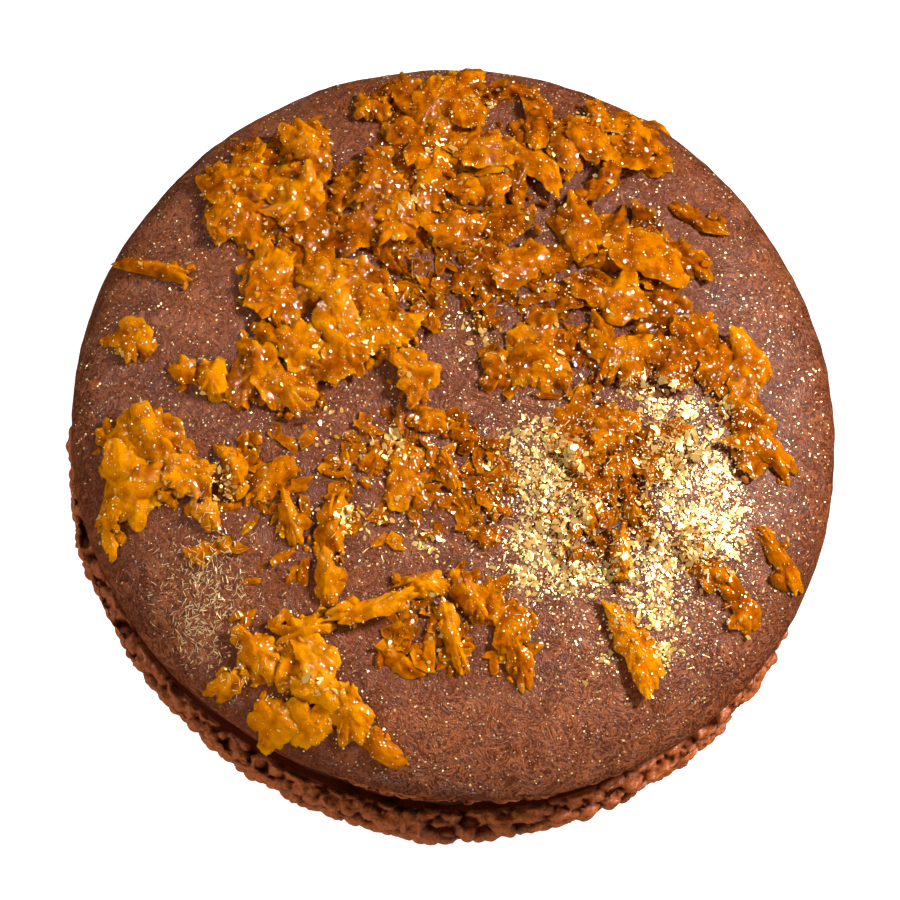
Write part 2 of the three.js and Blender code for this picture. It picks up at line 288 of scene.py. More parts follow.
turn = np.linspace(0, np.pi / 2, LOWER_SKIN_ROWS)
skin_radius = REST_RADIUS + (SHELL_RADIUS - REST_RADIUS) * np.sin(turn)
depth = dome(skin_radius / SHELL_RADIUS) / dome(REST_RADIUS / SHELL_RADIUS)
skin_height = (LOWER_RISE - LIP_HEIGHT) * (1 - depth)
lip = np.linspace(0, np.pi, LIP_ROWS + 1)[1:]
lip_radius = SHELL_RADIUS - GROOVE_DEPTH * (1 - np.cos(lip)) / 2
radius = np.concatenate([
    REST_RADIUS * REST_RINGS,
    skin_radius,
    lip_radius,
    [SHELL_RADIUS / 2],
])
height = np.concatenate([
    [0, 0],
    skin_height,
    LOWER_RISE - LIP_HEIGHT + LIP_HEIGHT * np.sin(lip / 2),
    [LOWER_RISE],
])
rings = turned(LOWER_SKIN_SHARE * radius[::-1], height[::-1], SKIN_SIDES)
off_floor = np.clip(rings[..., 2] / REST_FADE, 0, 1)
rings = pushed(rings, all_lumps(rings, SKIN_LUMPS) * off_floor)
skin_material = baked_skin()
lower_skin = make_piece(
    "lower_skin", closed(rings), ring_faces(*rings.shape[:2]), skin_material, "shell"
)
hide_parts("bottom_shell")

# Feet
# The ragged frill under each skin, where the rising batter burst out at the edge: a crisp brown
# crumb full of burst bubbles. It is baked in one with its shell, and starts in a groove under the lip.
FOOT_HEIGHT = 3.0
FOOT_FLARE = 0.4
FOOT_SIDES = 1500
FOOT_ROWS = 46
FOOT_FADE_ROWS = 4
FOOT_START = 0.02
FOOT_STEPS = 400
FOOT_SINK = 0.25
FOOT_CRUMBS, FOOT_HOLES = 4600, 400
CRUMB_LEAST, CRUMB_SPREAD = 0.12, 0.38
HOLE_LEAST, HOLE_SPREAD = 0.2, 0.4
CRUMB_STRETCH = 1.3
CRUMB_TALL, HOLE_DEEP = 0.25, 0.36
CRUMB_GRIT, GRIT_DEPTH = 0.2, 0.09
# The last crumb colour is painted shade, for the bubbles and the recesses by the filling and the groove.
CRUMB_DARK, CRUMB_LIGHT, CRUMB_SHADE = "#7a310f", "#a65c2e", "#381105"
LOWER_DRAWN, UPPER_DRAWN = 0.42, 0.95
LOWER_SPREAD, UPPER_SPREAD = 0.7, 0.3
SPREAD_AT, SPREAD_POWER = np.radians(265), 8
LOWER_FOOT_SEED, UPPER_FOOT_SEED, HOLE_SEED = 700, 2900, 50000

# Lumps under the crumbs: height, width and seed of each size
FOOT_LUMPS = [(0.2, 1.8, 0), (0.12, 0.7, 1)]

# A foot's profile: shares of its height, and how many flares it stands out there
PROFILE_SHARES = [0, 0.15, 0.4, 0.65, 0.85, 1]
PROFILE_FLARES = [-2.0, -0.1, 0.45, 0.55, 0.0, -3.0]


def foot_rings(rim, direction):
    """A foot's profile carried round: out of the groove to its widest at two thirds of its height, and
    over a round shoulder back to the filling. Its rows are evenly apart along the profile, and the top
    ring comes first."""
    share = np.linspace(FOOT_START, 1, FOOT_STEPS)
    swell = np.interp(share, PROFILE_SHARES, PROFILE_FLARES) * FOOT_FLARE
    length = np.append(0, np.cumsum(np.hypot(np.diff(swell), FOOT_HEIGHT * np.diff(share))))
    even = np.linspace(0, length[-1], FOOT_ROWS)
    share, swell = np.interp(even, length, share), np.interp(even, length, swell)
    radius = np.concatenate([[SHELL_RADIUS / 2], SHELL_RADIUS + swell, [SHELL_RADIUS / 2]])
    height = rim + direction * FOOT_HEIGHT * np.concatenate([[FOOT_START], share, [1]])
    return turned(radius[::-direction], height[::-direction], FOOT_SIDES)


def balls(rings, count, least, spread, seed):
    """Caps of balls strewn evenly over a foot's face: at each point the highest of the roots of a ball's
    radius squared less the distance squared from its middle, along the profile and round the edge."""
    step = np.linalg.norm(np.diff(rings[1:-1, 0], axis=0), axis=1)
    along = np.concatenate([[0, 0], np.cumsum(step), [step.sum()]])[:, None]
    side = 2 * np.pi / FOOT_SIDES
    most = np.ceil(CRUMB_STRETCH * (least + spread) / (SHELL_RADIUS * side))
    each = np.arange(count) * 4 + seed
    highest = np.zeros(rings.shape[:2])
    for angle, level, reach in zip(
        2 * np.pi * draw(each), along[-1] * draw(each + 1), least + spread * draw(each + 2) ** 2
    ):
        column = np.rint(angle / side) + np.arange(-most, most + 1)
        apart = SHELL_RADIUS * (column * side - angle) / CRUMB_STRETCH
        cap = np.sqrt(np.clip(reach**2 - apart**2 - (along - level) ** 2, 0, None))
        column = column.astype(int) % FOOT_SIDES
        highest[:, column] = np.maximum(highest[:, column], cap)
    return highest


def burst_crumb(rings, seed):
    """How far a foot's face is raised by its crumb, and how deep in it a point lies. Round crumbs stand
    on lumps, with burst bubbles between them."""
    crumbs = balls(rings, FOOT_CRUMBS, CRUMB_LEAST, CRUMB_SPREAD, seed)
    holes = balls(rings, FOOT_HOLES, HOLE_LEAST, HOLE_SPREAD, seed + HOLE_SEED)
    raised = all_lumps(rings, FOOT_LUMPS, seed) + crumbs - holes
    return raised, 1 - crumbs / CRUMB_TALL + holes / HOLE_DEEP


def baked_crumb():
    """The foot's crumb: the same baked meringue torn open, crisp outside and dry in its bubbles. The
    bubbles and the bands by the filling and the groove are painted dark as shade.
    """
    material = new_material("torn_meringue_crumb")
    place = add_node(material, "ShaderNodeTexCoord").outputs["Object"]
    deep = add_node(material, "ShaderNodeAttribute", attribute_name="deep")
    grit = add_node(
        material, "ShaderNodeTexNoise",
        {"Vector": place, "Scale": 1 / (CRUMB_GRIT * MM), "Detail": 3.0, "Roughness": 0.65},
    )
    tone = add_node(
        material, "ShaderNodeMapRange", {"Value": grit.outputs["Fac"], "From Min": 0.3, "From Max": 0.7}
    )
    # The grit's lighter and darker crumb is its own tone; the deep share mixes in painted shade.
    colour = linear(CRUMB_DARK)
    for share, over in ((tone.outputs["Result"], CRUMB_LIGHT), (deep.outputs["Fac"], CRUMB_SHADE)):
        mixed = add_node(
            material, "ShaderNodeMix", {"Factor": share, "A": colour, "B": linear(over)}, data_type="RGBA"
        )
        colour = mixed.outputs["Result"]
    bump = add_node(
        material, "ShaderNodeBump",
        {"Strength": 1.0, "Distance": GRIT_DEPTH * MM, "Height": grit.outputs["Fac"]},
    )
    gloss, shine = [
        add_node(
            material, "ShaderNodeMapRange", {"Value": deep.outputs["Fac"], "To Min": outer, "To Max": inner}
        )
        for outer, inner in ((0.26, 0.8), (0.6, 0.0))
    ]
    shader = add_node(
        material, "ShaderNodeBsdfPrincipled",
        {
            "Base Color": colour, "Roughness": gloss.outputs["Result"], "IOR": 1.45,
            "Specular IOR Level": shine.outputs["Result"], "Normal": bump.outputs["Normal"],
        },
    )
    add_node(material, "ShaderNodeOutputMaterial", {"Surface": shader.outputs[0]})
    return material


def make_foot(name, rim, direction, shift, drawn, spread, seed, material):
    """A foot as a closed ring surface, with how deep each point lies in its bubbles. It is drawn in, and
    spread furthest at the front, by the eighth power of the cosine of the angle from there. Its crumbs
    die away towards the filling and the groove, where it is painted fully dark as shade."""
    rings = foot_rings(rim, direction)
    to_end = np.minimum(np.arange(len(rings)), np.arange(len(rings))[::-1])[:, None] - 1
    fade = np.clip(to_end / FOOT_FADE_ROWS, 0, 1)
    crumb, hollow = burst_crumb(rings, seed)
    way = np.arctan2(rings[..., 1], rings[..., 0])
    front = np.clip(np.cos(way - SPREAD_AT), 0, 1) ** SPREAD_POWER
    out = spread * front - drawn - FOOT_SINK + crumb * fade
    # Painted shade: full where the crumb fades out by the filling and the groove, and in the hollows
    # between crumbs.
    deep = np.append(1 - fade * (1 - np.clip(hollow, 0, 1)), [1, 1])
    rings = pushed(rings, out * (to_end > 0)) + shift
    return make_piece(
        name, closed(rings), ring_faces(*rings.shape[:2]), material, "shell", deep=deep
    )


crumb_material = baked_crumb()
lower_foot = make_foot(
    "lower_foot", LOWER_RISE, 1, np.zeros(3), LOWER_DRAWN, LOWER_SPREAD, LOWER_FOOT_SEED, crumb_material
)
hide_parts("bottom_shell")

# Filling
# A layer of dark chocolate ganache, piped on the lower shell and pressed out by the upper one. It
# is smooth and a little glossy, and stays back from the feet.
FILLING_RECESS = 1.1
FILLING_BULGE = 0.6
FILLING_SIDES = 360
FILLING_ROWS = 16
GANACHE = "#2a140c"
GANACHE_LUMPS = [(0.25, 2.2, 31)]
RIPPLE_SIZE, RIPPLE_DEPTH = 0.8, 0.1

filling_low, filling_high = [np.array(corner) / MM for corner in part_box("filling")]
filling_shift = np.append((filling_low + filling_high)[:2] / 2, 0)
filling_thickness = filling_high[2] - filling_low[2]


def ganache():
    """Dark chocolate ganache: cocoa butter sets smooth, so it has a soft satin shine."""
    material = new_material("dark_ganache")
    place = add_node(material, "ShaderNodeTexCoord").outputs["Object"]
    ripple = add_node(
        material, "ShaderNodeTexNoise", {"Vector": place, "Scale": 1 / (RIPPLE_SIZE * MM), "Detail": 3.0}
    )
    bump = add_node(
        material, "ShaderNodeBump",
        {"Strength": 0.4, "Distance": RIPPLE_DEPTH * MM, "Height": ripple.outputs["Fac"]},
    )
    shader = add_node(
        material, "ShaderNodeBsdfPrincipled",
        {"Base Color": linear(GANACHE), "Roughness": 0.38, "IOR": 1.47, "Normal": bump.outputs["Normal"]},
    )
    add_node(material, "ShaderNodeOutputMaterial", {"Surface": shader.outputs[0]})
    return material


share = np.linspace(1, 0, FILLING_ROWS)
edge = SHELL_RADIUS - FILLING_RECESS - FILLING_BULGE * (1 - np.sin(np.pi * share))
radius = np.concatenate([[SHELL_RADIUS / 2], edge, [SHELL_RADIUS / 2]])
level = filling_low[2] + filling_thickness * np.concatenate([[1], share, [0]])
rings = turned(radius, level, FILLING_SIDES)
inner = np.sin(np.pi * np.clip((rings[..., 2] - filling_low[2]) / filling_thickness, 0, 1))
rings = pushed(rings, all_lumps(rings, GANACHE_LUMPS) * inner) + filling_shift
filling = make_piece("ganache_layer", closed(rings), ring_faces(*rings.shape[:2]), ganache(), "filling")
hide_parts("filling")

# Upper shell
# The top half, baked like the lower one and set down a little to its right and behind it. Its dome
# is what the zest and the gold lie on.
UPPER_RISE = 6.4
UPPER_SKIN_ROWS = 150
TOP_TURN = 0.012
UPPER_SHIFT = np.array([0.55, 0.35, 0.0])

rim_upper = filling_high[2] + FOOT_HEIGHT


def skin_level(x, y):
    """Height of the upper skin over a place, counted from the upper shell's own axis."""
    return rim_upper + UPPER_RISE * dome(np.hypot(x, y) / (SHELL_RADIUS * outline(np.arctan2(y, x))))


turn = np.linspace(TOP_TURN, np.pi / 2, UPPER_SKIN_ROWS)
radius = np.concatenate([
    SHELL_RADIUS * np.sin(turn),
    lip_radius,
    [SHELL_RADIUS / 2],
])
height = np.concatenate([
    rim_upper + UPPER_RISE * dome(np.sin(turn)),
    rim_upper - LIP_HEIGHT * np.sin(lip / 2),
    [rim_upper - LIP_HEIGHT],
])
rings = turned(radius, height, SKIN_SIDES)
rings = pushed(rings, all_lumps(rings, SKIN_LUMPS)) + UPPER_SHIFT
upper_skin = make_piece(
    "upper_skin", closed(rings), ring_faces(*rings.shape[:2]), skin_material, "shell"
)
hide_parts("top_shell")
upper_foot = make_foot(
    "upper_foot", rim_upper, -1, UPPER_SHIFT, UPPER_DRAWN, UPPER_SPREAD, UPPER_FOOT_SEED, crumb_material
)
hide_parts("top_shell")

# Candied zest
# Shreds of orange peel boiled in syrup until they are clear, then torn small and stuck on before the
# glaze dried. They are thin crumpled flakes with torn edges, most of them heaped in drifts.
PEEL_THICKNESS = 0.28
LAYER_STEP = 0.4
DRIFT_LAYERS = 3
DRIFT_SHRED_LENGTH = 3.8
DRIFT_SHRED_WIDTH = 2.5
DRIFT_TURN = 1.5
SIZE_LEAST, SIZE_SPREAD = 0.7, 0.6
SHRED_BOW = 0.12
DRIFT_SEED, LONE_SEED, THREAD_SEED, SHAVING_SEED = 4000, 40000, 70000, 9000
SHRED_DRAWS, THREAD_DRAWS, DRIFT_MOST = 40, 9.0, 12
SHAVING_FIRST, SHAVING_DRAWS = 11.3, 2.7
SHRED_SPOKES, SHRED_RINGS = 72, 8
SHAVING_SPOKES, SHAVING_RINGS = 7, 2
SHAVINGS_EACH = 7
SHAVINGS_WITHIN = 0.93
SHAVING_AWAY, SHAVING_ASIDE = 1.05, 1.1
SHAVING_LEAST, SHAVING_SPREAD = 0.22, 0.5
SQUARENESS = 2.8
UNDER_SHARES = [0.7, 0.35]
DIAL_STEP, PLACE_STEP = 0.37, 0.53
LOBE_LEAST, LOBE_MOST = 0.4, 1.6
NICK_SIZE, NICK_STEP = 0.1, 0.173
CURL_SPREAD, CUP_SPREAD, CURL_DOWN = 0.8, 0.5, 0.25
LEAN_LEAST, LEAN_SMALL, LEAN_ASIDE = 0.16, 0.3, 0.1
STOUT_LEAST = 0.4
EDGE_THICKNESS, EDGE_FALL = 0.3, 0.95
DROOP_GAP, LOOSE_GAP = 0.1, 0.2
# Painted light and shade in the peel's tone: by layer, by fold, and towards the front left.
TONE_LEAST, LAYER_PAINTED_SHADE, TONE_SPREAD, FOLD_SYRUP_AND_SHADE = 0.16, 0.14, 0.3, 1.2
PAINTED_GLOW_MOST, PAINTED_GLOW_LEAST, PAINTED_GLOW_REACH = 0.36, -0.4, 100 / 3
PEEL_CREASE = np.radians(28)
SYRUP_REACH, SYRUP_MOST = 1.2, 0.85
GROUND_STEP, GROUND_HALF = 0.12, 26.0
ZEST_LIFT = 0.05
PULP_SIZE, FACET_SIZE, FIBRE_SIZE = 0.7, 0.7, 0.55
WET_DEPTH, GLOW_REACH = 0.16, 0.15
ZEST_DEEP, ZEST_AMBER, ZEST_BRIGHT, ZEST_RIM_LIGHT = "#6c2800", "#c06400", "#f09c00", "#f6a808"

# Lumps of a flake: height, width and seed of each size
EDGE_LOBES = [(0.28, 0.8, 51), (0.24, 0.34, 57)]
EDGE_TEETH = [(0.24, 0.22, 52)]
EDGE_RUFFLES = [(0.3, 0.45, 58)]
CRUMPLES = [(0.2, 1.2, 54), (0.18, 0.6, 55), (0.12, 0.32, 56)]

# Fields of fine threads of zest in plan: middle x, y, half sizes along x and y, number of threads
THREAD_FIELDS = np.array([
    [-2.0, -5.0, 6.0, 4.5, 110], [0.5, -14.0, 5.0, 3.0, 46], [-10.5, -5.0, 4.0, 3.5, 50],
    [9.0, -6.0, 4.0, 5.0, 60], [-2.0, 9.0, 5.0, 4.0, 130], [6.0, 4.5, 5.0, 4.0, 60],
    [-12.0, -11.0, 3.0, 3.0, 10],
])

# Drifts of zest in plan: start x, y, end x, y, width across, number of shreds
DRIFTS = np.array([
    [-14.4, 16.8, -11.5, 12.4, 4.2, 8], [-10.3, 19.2, -9.0, 11.2, 3.2, 8],
    [-12.4, 10.2, -11.4, 6.4, 2.6, 5], [-9.4, 9.8, -5.0, 6.6, 3.4, 6], [-12.0, 4.5, -3.6, 3.8, 3.6, 9],
    [-13.6, 1.5, -8.6, 1.1, 2.0, 4], [-3.2, 20.4, 1.8, 20.6, 3.2, 7], [-3.8, 17.9, 3.2, 17.5, 3.2, 7],
    [-7.4, 14.3, 2.6, 15.1, 3.2, 9], [-7.4, 11.4, 4.0, 12.0, 2.6, 8], [2.8, 17.5, 5.0, 15.5, 2.4, 3],
    [6.4, 17.1, 10.2, 17.5, 2.0, 4], [11.2, 19.6, 12.0, 16.4, 2.4, 4], [11.0, 11.0, 14.0, 9.0, 3.0, 5],
    [7.6, 7.4, 13.2, 6.8, 2.4, 5], [1.2, 8.4, 6.6, 9.4, 2.2, 5], [12.2, 5.2, 11.4, 1.4, 2.4, 4],
    [14.2, 6.0, 14.8, 2.4, 2.8, 5], [16.2, 4.0, 18.6, 1.0, 2.6, 4], [17.4, -1.0, 20.0, -3.2, 2.0, 3],
    [-21.2, -1.9, -18.6, -1.2, 2.0, 3], [-21.0, -3.4, -18.8, -5.2, 2.2, 3],
    [-18.4, -2.6, -15.8, -4.8, 2.4, 3], [-11.4, -15.5, -8.4, -16.3, 2.0, 3],
    [2.2, -12.9, 4.2, -14.3, 2.2, 2], [7.4, -1.0, 10.4, -2.0, 2.0, 3], [11.8, -2.9, 14.0, -3.4, 1.8, 2],
    [8.8, -5.2, 8.6, -7.0, 2.0, 2], [-4.2, -3.0, -2.6, -5.0, 1.8, 2],
])

# Lone shreds in plan: start x, y, end x, y, width, height above the skin
LONE_SHREDS = np.array([
    [-21.2, 10.4, -16.6, 8.7, 1.1, 0.9], [-21.2, 5.9, -19.6, 3.5, 2.2, 0.6],
    [-15.1, 3.2, -14.9, 0.2, 1.9, 1.2], [-17.8, 1.9, -16.2, 2.6, 1.8, 0.6],
    [-6.5, 20.3, -4.2, 20.5, 2.2, 1.0], [-4.2, 22.4, -3.6, 20.8, 1.7, 1.0],
    [-5.4, 16.9, -4.5, 14.3, 1.8, 1.4], [1.9, 21.1, 5.0, 21.4, 1.1, 0.9],
    [5.2, 20.9, 5.2, 17.2, 1.9, 1.3], [4.1, 15.8, 4.2, 12.8, 1.2, 0.8], [9.0, 20.8, 8.9, 18.4, 1.5, 1.3],
    [8.4, 13.2, 10.1, 16.2, 1.3, 1.7], [5.8, 12.6, 10.8, 10.0, 3.2, 1.0], [7.2, 13.6, 8.8, 9.6, 2.4, 1.3],
    [7.2, 9.8, 10.8, 12.4, 2.2, 1.2], [13.6, 13.8, 17.0, 12.0, 1.1, 0.6], [4.4, 5.2, 6.8, 0.4, 3.4, 0.9],
    [3.4, 1.4, 7.8, 4.0, 2.4, 1.2], [9.2, 5.5, 9.2, 1.6, 2.1, 1.1], [1.8, 1.8, 3.4, 2.4, 1.8, 0.7],
    [-3.5, 2.7, -1.7, -0.1, 2.6, 1.5], [-2.8, -0.8, -0.4, -1.6, 1.8, 0.9],
    [-20.9, -5.1, -22.0, -7.1, 1.8, 0.8], [-21.9, -7.0, -21.3, -8.9, 0.9, 0.6],
    [-14.1, -2.6, -13.9, -6.1, 1.5, 1.2], [-15.9, -5.8, -14.6, -7.9, 1.6, 1.0],
    [-12.7, -6.3, -10.3, -3.9, 1.6, 0.8], [-10.6, -6.0, -9.6, -9.3, 1.3, 0.9],
    [-16.7, -9.4, -14.1, -8.6, 1.3, 0.4], [-7.3, -6.1, -7.6, -9.7, 1.9, 1.2],
    [-7.6, -9.4, -8.0, -12.9, 1.6, 1.1], [-11.2, -14.8, -7.2, -13.4, 1.6, 1.1],
    [-7.8, -13.9, -2.7, -12.4, 1.3, 1.3], [-3.9, -12.1, 0.0, -11.8, 1.6, 1.1],
    [-13.5, -14.2, -11.2, -16.8, 2.3, 1.1], [-15.3, -17.6, -12.6, -16.5, 1.5, 0.8],
    [-10.2, -17.2, -7.0, -18.5, 1.8, 1.3], [-12.5, -18.7, -9.6, -19.7, 2.6, 0.9],
    [-10.4, -19.5, -7.6, -19.9, 2.4, 0.8], [-6.9, -17.9, -6.0, -20.7, 2.2, 0.9],
    [-5.7, -20.5, -2.8, -22.1, 1.3, 0.6], [-4.8, -15.3, -2.2, -17.0, 1.3, 0.4],
    [-0.9, -3.2, 0.4, -5.9, 1.1, 0.8], [0.1, -1.6, 1.2, -2.8, 1.4, 0.7], [7.0, -2.5, 8.3, -4.1, 2.0, 1.0],
    [9.4, -3.9, 11.9, -4.4, 1.5, 0.6], [10.7, -5.1, 11.6, -8.1, 1.2, 1.0],
    [10.1, -8.1, 10.5, -11.2, 1.4, 1.1], [1.2, -7.7, 2.8, -9.0, 1.8, 0.7],
    [0.2, -10.9, 1.6, -13.7, 1.7, 1.0], [3.5, -14.9, 4.4, -18.2, 1.5, 0.9],
    [-0.5, -13.0, 0.7, -17.1, 1.2, 0.9], [9.4, -12.4, 12.3, -17.4, 2.0, 1.2],
    [14.1, -8.6, 16.8, -11.5, 2.0, 0.6], [16.4, -10.9, 18.7, -13.8, 1.6, 0.5],
    [18.7, -7.1, 21.5, -11.1, 1.3, 1.0],
])


def drift_shreds():
    """Each drift's shreds: spread evenly along it, then shifted across and turned by seeded draws, in
    layers. Rows of middle x, y, half length, half width, heading, height, layer and seed."""
    count = DRIFTS[:, 5].astype(int)
    number = np.repeat(np.arange(len(DRIFTS)), count)
    index = np.arange(len(number)) - np.repeat(np.cumsum(count) - count, count)
    start, end = DRIFTS[number, 0:2], DRIFTS[number, 2:4]
    width = DRIFTS[number, 4]
    along = end - start
    across = np.stack([-along[:, 1], along[:, 0]], axis=-1) / np.linalg.norm(along, axis=-1, keepdims=True)
    seed = DRIFT_SEED + (number * DRIFT_MOST + index) * SHRED_DRAWS
    long = DRIFT_SHRED_LENGTH * (SIZE_LEAST + SIZE_SPREAD * draw(seed + 1))
    broad = DRIFT_SHRED_WIDTH * (SIZE_LEAST + SIZE_SPREAD * draw(seed + 2))
    aside = (draw(seed + 3) - 0.5) * np.maximum(0, width - broad / 2)
    middle = start + along * ((index + 0.5) / count[number])[:, None] + across * aside[:, None]
    heading = np.arctan2(along[:, 1], along[:, 0]) + (2 * draw(seed + 4) - 1) * DRIFT_TURN
    layer = index % DRIFT_LAYERS
    raised = PEEL_THICKNESS + LAYER_STEP * layer
    return np.stack([*middle.T, long / 2, broad / 2, heading, raised, layer, seed], axis=-1)


def lone_shreds():
    """The lone shreds, in rows like the drifts': each lies from its start to its end."""
    start, end = LONE_SHREDS[:, 0:2], LONE_SHREDS[:, 2:4]
    along = end - start
    middle = (start + end) / 2
    heading = np.arctan2(along[:, 1], along[:, 0])
    broad, raised = LONE_SHREDS[:, 4:].T
    layer = np.clip((raised - LAYER_STEP) / LAYER_STEP, 0, 2)
    seed = LONE_SEED + np.arange(len(LONE_SHREDS)) * SHRED_DRAWS
    half = np.linalg.norm(along, axis=-1) / 2
    return np.stack([*middle.T, half, broad / 2, heading, raised, layer, seed], axis=-1)


def shavings(rows):
    """Torn shavings on and beside each shred: small flakes at seeded places out to its edges. Those that
    would lie past the shell's edge are drawn in to it."""
    seed = (rows[:, 7, None] + SHAVING_FIRST + SHAVING_DRAWS * np.arange(SHAVINGS_EACH)).ravel()
    x, y, half, broad, heading, raised, layer = np.repeat(rows[:, :7], SHAVINGS_EACH, axis=0).T
    away = (2 * draw(seed) - 1) * SHAVING_AWAY * half
    aside = (2 * draw(seed + 1) - 1) * SHAVING_ASIDE * broad
    long = SHAVING_LEAST + SHAVING_SPREAD * draw(seed + 2) ** 2
    x = x + away * np.cos(heading) - aside * np.sin(heading)
    y = y + away * np.sin(heading) + aside * np.cos(heading)
    edge = SHELL_RADIUS * outline(np.arctan2(y, x))
    drawn_in = np.minimum(1, SHAVINGS_WITHIN * edge / np.hypot(x, y))
    return np.stack([
        x * drawn_in,
        y * drawn_in,
        long,
        long * (0.4 + 0.5 * draw(seed + 3)),
        2 * np.pi * draw(seed + 4),
        0.05 + (raised + 0.1) * draw(seed + 5),
        layer,
        seed + SHAVING_SEED,
    ], axis=-1)


def threads():
    """Fine threads of zest pressed on the skin: seeded places, evenly spread over their field's oval."""
    count = THREAD_FIELDS[:, 4].astype(int)
    x, y, wide, deep = np.repeat(THREAD_FIELDS[:, :4], count, axis=0).T
    seed = THREAD_SEED + THREAD_DRAWS * np.arange(count.sum())
    far, way = np.sqrt(draw(seed)), 2 * np.pi * draw(seed + 1)
    return np.stack([
        x + wide * far * np.cos(way),
        y + deep * far * np.sin(way),
        0.4 + 0.8 * draw(seed + 2),
        0.2 + 0.3 * draw(seed + 3),
        2 * np.pi * draw(seed + 4),
        0.05 + 0.3 * draw(seed + 5),
        np.full(len(seed), -0.5),
        seed,
    ], axis=-1)


def torn_flakes(rows, spokes, ring_count):
    """Closed flakes of peel, one for each row. Spokes run from a flake's middle to its torn edge, a
    rounded oblong with lobes and teeth added. Its upper and lower faces follow the skin at the flake's
    height, with a curl, a tilt and crumples added, droop towards what lies under it by the square of
    the share of the way out, and come together at the edge. Returns the points, the faces, and for
    each point how near the edge it is and its flake's tone. The tone holds painted light and shade:
    upper flakes are painted lighter and lower ones darker as shade under them, folds darker than
    ridges as thicker syrup and painted shade, and peel towards the front left lighter as a painted glow."""
    x, y, long, broad, heading, raised, layer, seed = rows.T[:, :, None, None]
    spoke = np.arange(spokes)
    angle = 2 * np.pi * spoke / spokes
    share = np.append(np.arange(1, ring_count + 1) / ring_count, UNDER_SHARES)[:, None]
    side = np.append(np.ones(ring_count - 1), [0, -1, -1])[:, None]
    oblong = np.abs(np.cos(angle)) ** SQUARENESS + np.abs(np.sin(angle)) ** SQUARENESS
    oblong = oblong ** (-1 / SQUARENESS)
    dial = np.stack(np.broadcast_arrays(np.cos(angle), np.sin(angle), seed * DIAL_STEP), axis=-1)
    lobes = np.clip(1 + all_lumps(dial, EDGE_LOBES), LOBE_LEAST, LOBE_MOST)
    teeth = all_lumps(dial, EDGE_TEETH) + NICK_SIZE * (draw(seed + NICK_STEP * spoke) - 0.5)
    teeth = teeth * np.minimum(1, broad) * share**2
    away = share * (long * oblong * lobes + teeth) * np.cos(angle)
    aside = share * (broad * oblong * lobes + teeth) * np.sin(angle)
    aside = aside + (2 * draw(seed + 5) - 1) * SHRED_BOW * 2 * long * (1 - (away / long) ** 2)
    flat_x = x + away * np.cos(heading) - aside * np.sin(heading)
    flat_y = y + away * np.sin(heading) + aside * np.cos(heading)
    place = np.stack(np.broadcast_arrays(flat_x, flat_y, seed * PLACE_STEP), axis=-1)
    curl = (CURL_SPREAD * draw(seed + 6) - CURL_DOWN) * np.minimum(1, long / 2) * (away / long) ** 2
    cup = (CUP_SPREAD * draw(seed + 7) - CURL_DOWN) * np.minimum(1, broad) * (aside / broad) ** 2
    lean = LEAN_LEAST + LEAN_SMALL * np.clip(1 - long, 0, 1)
    tilt = (2 * draw(seed + 8) - 1) * (lean + LEAN_ASIDE) * aside + (2 * draw(seed + 9) - 1) * lean * away
    crumple = all_lumps(place, CRUMPLES) + share**3 * all_lumps(dial, EDGE_RUFFLES)
    stout = np.minimum(1, STOUT_LEAST + broad)
    thick = EDGE_THICKNESS + (1 - EDGE_THICKNESS) * np.sqrt(1 - EDGE_FALL * share**2)
    thick = PEEL_THICKNESS * stout * thick
    on_layers = np.minimum(raised - DROOP_GAP, LAYER_STEP)
    droop = np.where(layer == np.rint(layer), on_layers, raised - LOOSE_GAP) * share**2
    level = skin_level(flat_x, flat_y) + raised - PEEL_THICKNESS / 2 - droop
    level = level + curl + cup + tilt + crumple * stout + side * thick / 2
    points = np.stack([flat_x, flat_y, level], axis=-1) + UPPER_SHIFT
    block = np.concatenate([points.reshape(len(rows), -1, 3), points[:, [0, -1]].mean(axis=2)], axis=1)
    first = (np.arange(len(rows)) * block.shape[1])[:, None, None]
    faces = [(face + first).reshape(-1, face.shape[1]) for face in ring_faces(len(share), spokes)]
    near = np.append(np.repeat(share[:, 0], spokes), [0, 0])
    # Painted light and shade: the front left is painted lighter as a glow, upper layers lighter and lower
    # ones darker, folds darker than ridges.
    painted_glow = PAINTED_GLOW_MOST * np.clip(-(rows[:, 0] + rows[:, 1]) / PAINTED_GLOW_REACH, PAINTED_GLOW_LEAST, 1)
    tone = TONE_LEAST + LAYER_PAINTED_SHADE * rows[:, 6] + TONE_SPREAD * draw(rows[:, 7] + 10) + painted_glow
    folds = np.append(crumple.reshape(len(rows), -1), np.zeros((len(rows), 2)), axis=1)
    tones_and_shade = tone[:, None] + FOLD_SYRUP_AND_SHADE * folds
    return block.reshape(-1, 3), faces, (np.ones(tones_and_shade.shape) * near).ravel(), tones_and_shade.ravel()


